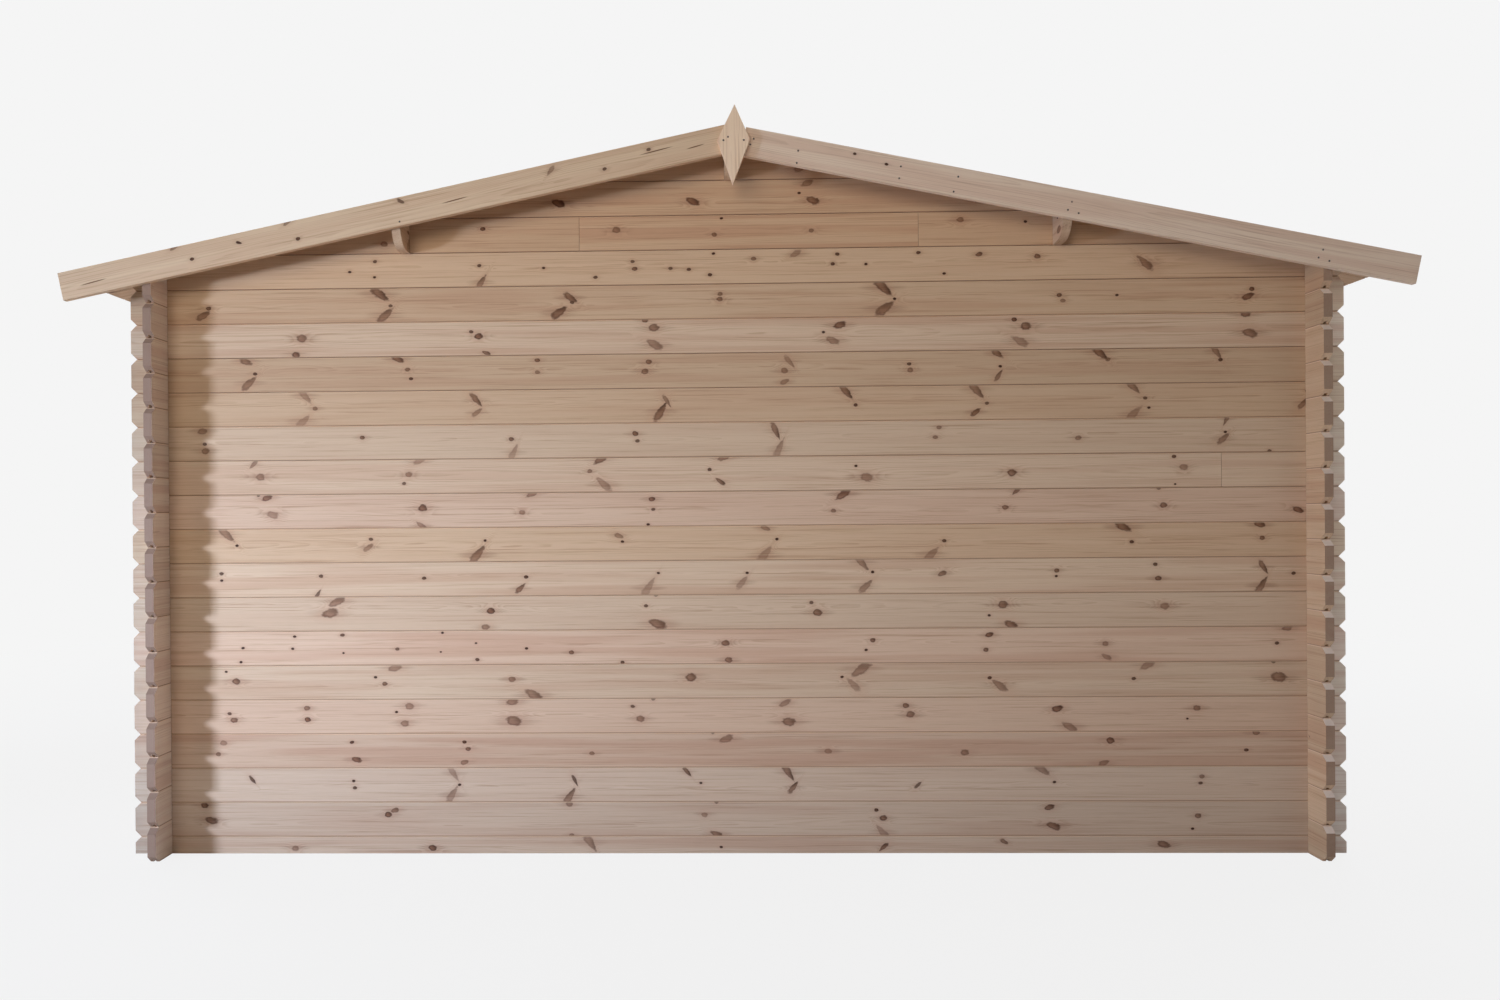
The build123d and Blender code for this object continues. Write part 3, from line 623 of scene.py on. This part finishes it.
def pine(
    name, grain, across, outward, face, pitch, start, seed, knots=None, first=0, joint=0.0,
    cuts=(), cracks=(), sawn=0.75, sawn_from=0.75, cut_highlight_share=0.0, tint=None, zero=0.0,
    corner=None, ends=None, end_face_side=1.0, tones=None,
):
    """Pine of boards or logs that lie side by side, pitch apart from start on, with their outer side at face.

    Grain, across and outward are their directions, and zero is where places along the grain count from.
    Cuts start a new board within a row. Sawn says how strongly end grain shows; a further share sets the
    painted highlight on the upward-facing cuts at the rear ends.
    Past the corner, the log ends take the colours in ends, painted light and shade with some paler wood: on
    their outer faces, or on their inner faces where the side sign is below 0.
    """
    finish = bpy.context.scene.shed.pine
    groups = bpy.data.node_groups
    group = groups.get("Pine grain") or pine_grain(finish)
    mark = groups.get("Pine knot") or pine_knot()
    material = bpy.data.materials.new(name)
    material.use_nodes = True
    graph = Graph(material.node_tree)
    shader = material.node_tree.nodes["Principled BSDF"]
    coordinates = graph.node("ShaderNodeTexCoord")
    place = coordinates.outputs["Object"]
    along = graph.dot(place, grain) - zero
    side = graph.dot(place, across) - start
    number = (side / pitch).floor()
    from_joint = side - number * pitch
    middle = from_joint - pitch / 2
    depth = face - graph.dot(place, outward)
    board = number * 3.7 + seed
    for row, cut in cuts:
        board = board + number.equals(row) * along.above(cut) * 31.0
    if knots:
        found = listed_knots(graph, along, middle, number, knots, first, pitch)
    else:
        found = even_knots(graph, along, middle, board, finish.whorl_spacing, min(pitch, COURSE))
        if corner:
            inside = along.size().ease(corner + 0.02, corner - 0.02)
            found = [(*spot, size * inside, slant) for *spot, size, slant in found]
    rough = graph.noise(along * 70.0, middle * 110.0, seed, detail=1.0)[0]
    effects = None
    for away, beside, rise, size, slant in found:
        knot = graph.node("ShaderNodeGroup", node_tree=mark)
        girth = size * (finish.knot_size / LISTED_KNOT)
        for socket, value in zip(knot.inputs, (away * 1000.0, beside * 1000.0, rise, girth, slant, rough)):
            graph.feed(socket, value)
        these = [Signal(graph, output) for output in knot.outputs]
        effects = [one.most(other) for one, other in zip(effects, these)] if effects else these
    wood = graph.node("ShaderNodeGroup", node_tree=group)
    for socket, value in zip(wood.inputs, (along * 1000.0, middle * 1000.0, depth * 1000.0, board, *effects)):
        graph.feed(socket, value)
    colour = wood.outputs["Colour"]
    # Tint: partly paler wood, partly painted light
    if tint:
        colour = graph.mix(1.0, colour, tint, blend="MULTIPLY")
    if tones:
        colour = graph.mix(1.0, colour, row_tones(graph, number, first, tones), blend="MULTIPLY")
    normal = coordinates.outputs["Normal"]
    # Painted light and shade, with some paler wood, on the log ends past the corners
    if corner:
        facing = (graph.dot(normal, outward) * end_face_side).ease(-0.1, 0.3)
        for way, end_wood_and_light in zip((-1.0, 1.0), ends):
            past = (along * way).ease(corner - 0.004, corner + 0.004)
            colour = graph.mix(past * facing, colour, end_wood_and_light, blend="MULTIPLY")
    turned = graph.dot(normal, grain).size()
    colour = graph.mix(turned.ease(sawn_from, sawn_from + 0.2) * sawn, colour, finish.end_grain)
    # Painted highlight on the upward-facing end cuts at the rear ends
    if cut_highlight_share:
        rising = graph.dot(normal, across).ease(0.5, 0.65) * turned.ease(0.5, 0.65) * along.above(0.0)
        colour = graph.mix(rising * cut_highlight_share, colour, finish.cut_highlight)
    if joint:
        # Painted highlight on the top bevel of each log, partly its paler planed wood
        colour = graph.mix(from_joint.ease(pitch - 0.004, pitch - 0.0025) * 0.5, colour, finish.pale_bevel_and_highlight)
        # Painted shade along the lower edge of each log, darkest in the joint beneath it
        colour = graph.mix(from_joint.ease(0.0035, 0.0025) * 0.7, colour, finish.late_wood)
        colour = graph.mix(from_joint.ease(joint * MM * 1.4, joint * MM * 0.3) * 0.8, colour, finish.joint)
    # Drying cracks drawn as painted shade, in the colour of the joint shade
    for place, height, half in cracks:
        length = (along - place) / half
        opening = (middle - height + length * 0.0022) / 0.0022
        gap = length * length + opening * opening
        colour = graph.mix(gap.ease(1.0, 0.3) * 0.95, colour, finish.joint)
    graph.feed(shader.inputs["Base Color"], colour)
    graph.feed(shader.inputs["Roughness"], wood.outputs["Roughness"])
    relief = {"Strength": 0.35, "Distance": 0.0008, "Height": wood.outputs["Height"]}
    graph.feed(shader.inputs["Normal"], graph.node("ShaderNodeBump", relief).outputs[0])
    shader.inputs["Specular IOR Level"].default_value = 0.10
    return material


def metal(name, colour, roughness, bump, metallic):
    """Painted or bare metal with a slightly uneven surface."""
    material = bpy.data.materials.new(name)
    material.use_nodes = True
    graph = Graph(material.node_tree)
    shader = material.node_tree.nodes["Principled BSDF"]
    x, y, z = graph.parts(graph.node("ShaderNodeTexCoord").outputs["Object"])
    cloud, _ = graph.noise(x * 60.0, y * 60.0, z * 60.0, detail=3.0)
    orange_peel, _ = graph.noise(x * 900.0, y * 900.0, z * 900.0, detail=1.0)
    worn = tuple(min(1.0, part * 1.8 + 0.01) for part in colour)
    graph.feed(shader.inputs["Base Color"], graph.mix(cloud.ease(0.45, 0.8) * 0.5, tuple(colour), worn))
    graph.feed(shader.inputs["Roughness"], cloud * 0.2 + (roughness - 0.1))
    shader.inputs["Metallic"].default_value = metallic
    relief = graph.node("ShaderNodeBump", {"Strength": bump, "Distance": 0.0004, "Height": orange_peel})
    graph.feed(shader.inputs["Normal"], relief.outputs[0])
    return material


def dress(material, *nodes):
    """Give CAD nodes a material."""
    for node in nodes:
        if node not in bpy.data.objects:
            raise RuntimeError(f"{node} isn't in the frame")
        mesh = bpy.data.objects[node].data
        if not mesh.materials:
            mesh.materials.append(material)
        for index in range(len(mesh.materials)):
            mesh.materials[index] = material


def alone(piece):
    """Select one object and nothing else."""
    bpy.ops.object.select_all(action="DESELECT")
    piece.select_set(True)
    bpy.context.view_layer.objects.active = piece


def select_edges(piece, test):
    """In edit mode, select the edges whose two ends pass a test."""
    bpy.ops.object.mode_set(mode="EDIT")
    bpy.ops.mesh.select_mode(type="EDGE")
    bpy.ops.mesh.select_all(action="DESELECT")
    bpy.ops.object.mode_set(mode="OBJECT")
    points = piece.data.vertices
    for edge in piece.data.edges:
        edge.select = test(*(points[index].co for index in edge.vertices))
    bpy.ops.object.mode_set(mode="EDIT")


def repeat(piece, count, offset):
    """Array modifier, applied."""
    alone(piece)
    array = piece.modifiers.new("Row", "ARRAY")
    array.count = count
    array.use_relative_offset = False
    array.use_constant_offset = True
    array.constant_offset_displace = offset
    bpy.ops.object.modifier_apply(modifier=array.name)


def settle(piece, matrix=None):
    """Put a piece's place into its mesh."""
    alone(piece)
    if matrix is not None:
        piece.matrix_world = matrix
    bpy.ops.object.transform_apply(location=True, rotation=True, scale=True)


def copy_of(piece, matrix):
    """A copy with its own mesh, put in place."""
    alone(piece)
    bpy.ops.object.duplicate()
    twin = bpy.context.view_layer.objects.active
    settle(twin, matrix)
    return twin


def join(pieces, name):
    """Join pieces into one."""
    bpy.ops.object.select_all(action="DESELECT")
    for piece in pieces:
        piece.select_set(True)
    bpy.context.view_layer.objects.active = pieces[0]
    bpy.ops.object.join()
    joined = bpy.context.view_layer.objects.active
    joined.name = name
    return joined


def roof_ways(side):
    """Directions of one roof slope: down to the eaves and out of the roof."""
    return (side * cos(PITCH), 0.0, -sin(PITCH)), (side * sin(PITCH), 0.0, cos(PITCH))


def slope(side):
    """Frame of one roof slope: local x runs down to the eaves, local z out of the roof."""
    down, out = (Vector(way) for way in roof_ways(side))
    turn = Matrix((down, out.cross(down), out)).transposed().to_4x4()
    return Matrix.Translation((0.0, 0.0, RIDGE_Z)) @ turn


def head(name, radius, rise):
    """Round nail or screw head that faces +Z, with a softened edge."""
    bpy.ops.object.select_all(action="DESELECT")
    bpy.ops.mesh.primitive_cylinder_add(vertices=10, radius=radius, depth=2 * rise, location=(0.0, 0.0, 0.0))
    piece = bpy.context.active_object
    piece.name = name
    select_edges(piece, lambda a, b: a.z > 0 and b.z > 0)
    bpy.ops.mesh.bevel(offset=rise * 0.8, segments=1, affect="EDGES")
    bpy.ops.object.mode_set(mode="OBJECT")
    bpy.ops.object.shade_smooth_by_angle(angle=radians(50))
    return piece


def fasten(piece, material):
    """Finish nails or screws: their metal, their place, and the body and slot they belong to."""
    piece.data.materials.clear()
    piece.data.materials.append(material)
    settle(piece)
    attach(piece, "root")


class SHED_OT_walls(bpy.types.Operator):
    """Give the log walls their pine"""

    bl_idname = "shed.walls"
    bl_label = "Log walls"

    def execute(self, context):
        upright = (0.0, 0.0, 1.0)
        rear = pine(
            "Rear logs", (1.0, 0.0, 0.0), upright, (0.0, -1.0, 0.0), WALL_Y, COURSE, COURSE / 2, 1.0,
            knots=REAR_KNOTS, first=-1, tones=REAR_TONES, corner=WALL_X, ends=REAR_ENDS, joint=LOG_JOINT,
            cuts=((10, 1.603), (17, -0.495), (17, 0.622)),
        )
        dress(rear, "rear_sill_log", "rear_wall_logs", "rear_gable_logs")
        front = pine(
            "Front logs", (-1.0, 0.0, 0.0), upright, (0.0, 1.0, 0.0), WALL_Y, COURSE, COURSE / 2, 140.0,
            joint=LOG_JOINT,
        )
        dress(front, "front_sill_log", "front_left_logs", "front_right_logs", "front_gable_logs")
        for name, side, seed, ends, sawn, sawn_from, cut_highlight_share in (
            ("left", -1.0, 270.0, LEFT_ENDS, 0.9, 0.5, 0.0),
            ("right", 1.0, 410.0, RIGHT_ENDS, 0.7, 0.75, 1.0),
        ):
            logs = pine(
                f"{name.title()} logs", (0.0, -side, 0.0), upright, (side, 0.0, 0.0), WALL_X, COURSE, 0.0,
                seed, joint=LOG_JOINT, corner=WALL_Y, ends=ends, end_face_side=-1.0, sawn=sawn,
                sawn_from=sawn_from, cut_highlight_share=cut_highlight_share,
            )
            dress(logs, f"{name}_wall_logs", f"{name}_eaves_log")
        return {"FINISHED"}


class SHED_OT_roof_timber(bpy.types.Operator):
    """Give the purlins, bargeboards and finials their pine"""

    bl_idname = "shed.roof_timber"
    bl_label = "Roof timber"

    def execute(self, context):
        for number, name in enumerate(("left_purlin", "ridge_purlin", "right_purlin")):
            middle = (number - 1) * PURLIN_X
            dress(
                pine(
                    name.replace("_", " ").capitalize(), (0.0, 1.0, 0.0), (0.0, 0.0, 1.0), (-1.0, 0.0, 0.0),
                    PURLIN_HALF - middle, 0.6, 1.75, 520.0 + 7 * number, sawn=0.2,
                ),
                name,
            )
        for end, facing in GABLES:
            for name, side in SIDES:
                down, out = roof_ways(side)
                left = name == "left"
                cracks = [(place, height - BARGE_MIDDLE, half) for place, height, half in LEFT_BARGE_CRACKS]
                board = pine(
                    f"{end.title()} {name} bargeboard", down, out, (0.0, facing, 0.0), BARGE_FACE, 0.1,
                    RIDGE_Z * cos(PITCH) + BARGE_MIDDLE - 0.05, 560.0 + 13 * side + 5 * facing,
                    knots=LEFT_BARGE_KNOTS if left else RIGHT_BARGE_KNOTS,
                    tint=LEFT_BARGE_TINT if left else RIGHT_BARGE_TINT,
                    zero=-RIDGE_Z * sin(PITCH), cracks=cracks if left else (),
                )
                dress(board, f"{end}_{name}_bargeboard")
            dress(
                pine(
                    f"{end.title()} finial", (0.0, 0.0, 1.0), (1.0, 0.0, 0.0), (0.0, facing, 0.0),
                    FINIAL_FACE, 0.4, -0.185, 600.0 + 9 * facing, knots=FINIAL_KNOTS, tint=FINIAL_TINT,
                ),
                f"{end}_finial",
            )
        return {"FINISHED"}


class SHED_OT_roof_boards(bpy.types.Operator):
    """Model the boards of the roof, which run from the ridge to the eaves"""

    bl_idname = "shed.roof_boards"
    bl_label = "Roof boards"

    def execute(self, context):
        roof = context.scene.shed.roof
        width = DECK_LENGTH / roof.boards
        mitre = 0.02
        for name, side in SIDES:
            bpy.ops.object.select_all(action="DESELECT")
            bpy.ops.mesh.primitive_cube_add(size=1.0)
            boards = context.active_object
            boards.name = f"{name}_roof_boards"
            bpy.ops.object.mode_set(mode="EDIT")
            bpy.ops.transform.resize(value=(DECK_RUN + mitre, width - roof.joint, roof.thickness))
            bpy.ops.transform.translate(
                value=((DECK_RUN - mitre) / 2, (width - DECK_LENGTH) / 2, roof.thickness / 2)
            )
            bpy.ops.object.mode_set(mode="OBJECT")
            select_edges(boards, lambda a, b: abs(a.x - b.x) > 1.0)
            bpy.ops.mesh.bevel(offset=roof.edge, segments=1, affect="EDGES")
            bpy.ops.object.mode_set(mode="OBJECT")
            repeat(boards, roof.boards, (0.0, width, 0.0))
            settle(boards, slope(side))
            bpy.ops.object.mode_set(mode="EDIT")
            bpy.ops.mesh.select_all(action="SELECT")
            bpy.ops.mesh.bisect(
                plane_co=(side * 0.0003, 0.0, 0.0), plane_no=(-side, 0.0, 0.0),
                use_fill=True, clear_outer=True,
            )
            bpy.ops.mesh.select_all(action="SELECT")
            bpy.ops.mesh.normals_make_consistent(inside=False)
            bpy.ops.object.mode_set(mode="OBJECT")
            down, out = roof_ways(side)
            wood = pine(
                f"{name.title()} roof boards", down, (0.0, 1.0, 0.0), out,
                RIDGE_Z * cos(PITCH) + roof.thickness, width, -DECK_LENGTH / 2, 700.0 + 150.0 * side,
            )
            boards.data.materials.append(wood)
            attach(boards, "root")
            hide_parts(f"{name}_roof_deck")
        return {"FINISHED"}


class SHED_OT_nails(bpy.types.Operator):
    """Drive the nails of the roof boards, bargeboards, finials and door"""

    bl_idname = "shed.nails"
    bl_label = "Nails"

    def execute(self, context):
        shed = context.scene.shed
        steel = metal("Nail steel", shed.fixings.nail_steel, 0.5, 0.15, 0.7)
        nail = head("nail", shed.fixings.nail_radius, 0.0009)
        width = DECK_LENGTH / shed.roof.boards
        first_board = Matrix.Translation((0.0, (width - DECK_LENGTH) / 2, shed.roof.thickness))
        for name, side in SIDES:
            rows = []
            for place in (0.006, PURLIN_X, 1.889):
                row = copy_of(nail, Matrix.Translation((place / cos(PITCH) + 0.008, -width * 0.28, 0.0)))
                repeat(row, 2, (0.0, width * 0.56, 0.0))
                repeat(row, shed.roof.boards, (0.0, width, 0.0))
                settle(row, slope(side) @ first_board)
                rows.append(row)
            fasten(join(rows, f"{name}_roof_nails"), steel)
        for end, facing in GABLES:
            nails = []
            tilt = Matrix.Rotation(-facing * pi / 2, 4, "X")
            for side, places in ((-1.0, LEFT_BARGE_NAILS), (1.0, RIGHT_BARGE_NAILS)):
                for along, height in places:
                    spot = slope(side) @ Vector((along, 0.0, height))
                    spot.y = facing * BARGE_FACE
                    nails.append(copy_of(nail, Matrix.Translation(spot) @ tilt))
            for x, z in FINIAL_NAILS:
                nails.append(copy_of(nail, Matrix.Translation((x, facing * FINIAL_FACE, z)) @ tilt))
            fasten(join(nails, f"{end}_gable_nails"), steel)
        nails = []
        for height in LEDGE_HEIGHTS:
            for x, z in ((-0.03, -0.026), (0.03, 0.026)):
                spot = Matrix.Translation((x - (LEAF_BOARDS - 1) / 2 * LEAF_BOARD, LEAF_Y, height + z))
                row = copy_of(nail, spot @ Matrix.Rotation(-pi / 2, 4, "X"))
                repeat(row, LEAF_BOARDS, (LEAF_BOARD, 0.0, 0.0))
                nails.append(row)
        fasten(join(nails, "door_nails"), steel)
        bpy.data.objects.remove(nail)
        return {"FINISHED"}


class SHED_OT_door(bpy.types.Operator):
    """Give the door and its frame their pine and the fittings their paint and screws"""

    bl_idname = "shed.door"
    bl_label = "Door"

    def execute(self, context):
        upright, level, outward = (0.0, 0.0, 1.0), (1.0, 0.0, 0.0), (0.0, 1.0, 0.0)
        edge = -LEAF_BOARDS / 2 * LEAF_BOARD
        dress(pine("Door boards", upright, level, outward, LEAF_Y, LEAF_BOARD, edge, 820.0), "door_boards")
        dress(pine("Door ledges", level, upright, outward, LEDGE_FACE, 0.7, -0.12, 850.0), "door_ledges")
        posts = pine("Door posts", upright, level, outward, LEAF_Y, 0.9, -0.9, 870.0)
        dress(posts, "door_left_jamb", "door_right_jamb")
        rails = pine("Door rails", level, upright, outward, LEAF_Y, 1.0, -0.4, 890.0)
        dress(rails, "door_head", "door_threshold")
        fixings = context.scene.shed.fixings
        black = metal("Black paint", fixings.ironmongery, 0.42, 0.25, 0.0)
        dress(black, "door_lower_hinge", "door_upper_hinge", "door_handle_plate", "door_handle")
        screw = head("screw", fixings.screw_radius, 0.0014)
        tilt = Matrix.Rotation(-pi / 2, 4, "X")
        spots = []
        for height in (LEDGE_HEIGHTS[0], LEDGE_HEIGHTS[-1]):
            spots += [(x, height) for x in HINGE_SCREWS_X]
            spots += [(HINGE_ROOT_X, height + rise) for rise in (-0.04, 0.04)]
        spots += [(HANDLE_X, HANDLE_HEIGHT + rise) for rise in (-0.07, 0.07)]
        screws = [copy_of(screw, Matrix.Translation((x, FITTING_FACE, z)) @ tilt) for x, z in spots]
        fasten(join(screws, "door_screws"), black)
        bpy.data.objects.remove(screw)
        return {"FINISHED"}


class SHED_OT_stage(bpy.types.Operator):
    """Set the floor, the light and the camera"""

    bl_idname = "shed.stage"
    bl_label = "Stage"

    def execute(self, context):
        scene = context.scene
        studio = scene.shed.studio
        scene.view_settings.view_transform = "Standard"
        bpy.ops.object.select_all(action="DESELECT")
        bpy.ops.mesh.primitive_circle_add(
            vertices=96, radius=60.0, fill_type="NGON", location=(0.0, 0.0, -0.0005)
        )
        floor = context.active_object
        floor.name = "floor"
        bpy.ops.object.transform_apply(location=True, rotation=True, scale=True)
        floor.data.materials.append(self.floor_paint(studio))
        self.light(scene, studio)
        camera = bpy.data.cameras.new("Camera")
        camera.lens, camera.sensor_width = 23.38, 36.0
        camera.shift_x, camera.shift_y = 0.0385, 0.0154
        view = bpy.data.objects.new("Camera", camera)
        scene.collection.objects.link(view)
        roll = Matrix.Rotation(radians(-0.434), 3, "Z")
        aim = Euler((radians(89.81), 0.0, radians(1.19))).to_matrix() @ roll
        view.matrix_world = Matrix.Translation((-0.061, -4.623, 1.103)) @ aim.to_4x4()
        scene.camera = view
        return {"FINISHED"}

    def seen(self, graph):
        """1 on rays that show the floor and the backdrop as they are, 0 on those that light the shed."""
        path = graph.node("ShaderNodeLightPath")
        names = ("Is Camera Ray", "Is Glossy Ray", "Is Transmission Ray")
        rays = [Signal(graph, path.outputs[name]) for name in names]
        return rays[0].most(rays[1]).most(rays[2])

    def floor_paint(self, studio):
        """Pale floor that melts into the backdrop and keeps the shed's shadow."""
        material = bpy.data.materials.new("Floor paint")
        material.use_nodes = True
        graph = Graph(material.node_tree)
        x, y, _ = graph.parts(graph.node("ShaderNodeTexCoord").outputs["Object"])
        far = (x * x + y * y).power(0.5).ease(2.5, 7.0) * 0.07 + 0.93
        shader = material.node_tree.nodes["Principled BSDF"]
        shader.inputs["Base Color"].default_value = (0.80, 0.80, 0.80, 1.0)
        shader.inputs["Roughness"].default_value = 0.9
        shader.inputs["Specular IOR Level"].default_value = 0.1
        glow = graph.node("ShaderNodeEmission", {"Color": (*studio.backdrop, 1.0), "Strength": 1.0})
        blend = graph.node("ShaderNodeMixShader")
        graph.feed(blend.inputs[0], self.seen(graph) * far)
        graph.feed(blend.inputs[1], shader.outputs[0])
        graph.feed(blend.inputs[2], glow.outputs[0])
        graph.feed(material.node_tree.nodes["Material Output"].inputs[0], blend.outputs[0])
        return material

    def light(self, scene, studio):
        """Backdrop, even light all round, and the lamps."""
        world = scene.world or bpy.data.worlds.new("World")
        scene.world = world
        world.use_nodes = True
        tree = world.node_tree
        tree.nodes.clear()
        graph = Graph(tree)
        even = graph.node("ShaderNodeBackground", {"Color": (0.95, 1.0, 1.10, 1.0), "Strength": studio.fill})
        pale = graph.node("ShaderNodeBackground", {"Color": (*studio.backdrop, 1.0), "Strength": 1.0})
        blend = graph.node("ShaderNodeMixShader")
        graph.feed(blend.inputs[0], self.seen(graph))
        graph.feed(blend.inputs[1], even.outputs[0])
        graph.feed(blend.inputs[2], pale.outputs[0])
        graph.feed(graph.node("ShaderNodeOutputWorld").inputs[0], blend.outputs[0])
        cool, warm, red = (0.95, 1.0, 1.08), (1.08, 1.0, 0.91), (1.18, 1.0, 0.88)
        key, soft, behind = studio.key, studio.soft, studio.behind
        lamps = (
            ("Key", (-6.0, -4.15, 1.2), (-1.05, -1.4, 0.64), (0.6, 0.4), key, 42.0, (0.80, 1.0, 1.38)),
            ("Front fill", (-2.4, -6.8, 3.0), (-0.5, -1.4, 2.3), (4.0, 2.5), soft, 80.0, warm),
            ("Right fill", (5.5, -5.0, 3.2), (2.0, -1.4, 1.0), (3.0, 3.0), soft * 0.4, 110.0, red),
            ("Roof fill", (0.0, 1.6, 8.5), (0.0, 0.0, 2.2), (5.0, 5.0), behind * 0.12, 100.0, cool),
            ("Far fill", (7.0, 7.0, 5.5), (0.0, 0.0, 1.2), (6.0, 6.0), behind, 180.0, cool),
            ("Left fill", (-8.0, 3.6, 4.5), (-1.5, 0.2, 1.2), (5.0, 5.0), behind * 0.42, 180.0, cool),
        )
        for name, place, target, size, power, spread, colour in lamps:
            light = bpy.data.lights.new(name, "AREA")
            light.shape = "RECTANGLE"
            light.size, light.size_y = size
            light.energy = power
            light.spread = radians(spread)
            light.color = colour
            lamp = bpy.data.objects.new(name, light)
            lamp.location = place
            lamp.rotation_euler = (Vector(target) - Vector(place)).to_track_quat("-Z", "Y").to_euler()
            scene.collection.objects.link(lamp)


class SHED_PT_panel(bpy.types.Panel):
    """Sizes, colours and steps of the shed"""

    bl_idname = "SHED_PT_panel"
    bl_label = "Garden shed"
    bl_space_type = "VIEW_3D"
    bl_region_type = "UI"
    bl_category = "Shed"

    def draw(self, context):
        layout = self.layout
        for group in ("pine", "roof", "fixings", "studio"):
            box = layout.box()
            box.label(text=group.title())
            finish = getattr(context.scene.shed, group)
            for name in finish.__annotations__:
                box.prop(finish, name)
        for step in STEPS:
            layout.operator(step.bl_idname)


STEPS = (SHED_OT_walls, SHED_OT_roof_timber, SHED_OT_roof_boards, SHED_OT_door, SHED_OT_nails, SHED_OT_stage)
CLASSES = (PineFinish, RoofFinish, FixingFinish, StudioFinish, ShedFinish, *STEPS, SHED_PT_panel)


def register():
    for part in CLASSES:
        bpy.utils.register_class(part)
    bpy.types.Scene.shed = PointerProperty(type=ShedFinish)


def unregister():
    del bpy.types.Scene.shed
    for part in reversed(CLASSES):
        bpy.utils.unregister_class(part)


def main():
    register()
    bpy.ops.shed.walls()
    bpy.ops.shed.roof_timber()
    bpy.ops.shed.roof_boards()
    bpy.ops.shed.door()
    bpy.ops.shed.nails()
    bpy.ops.shed.stage()


if __name__ == "__main__":
    main()
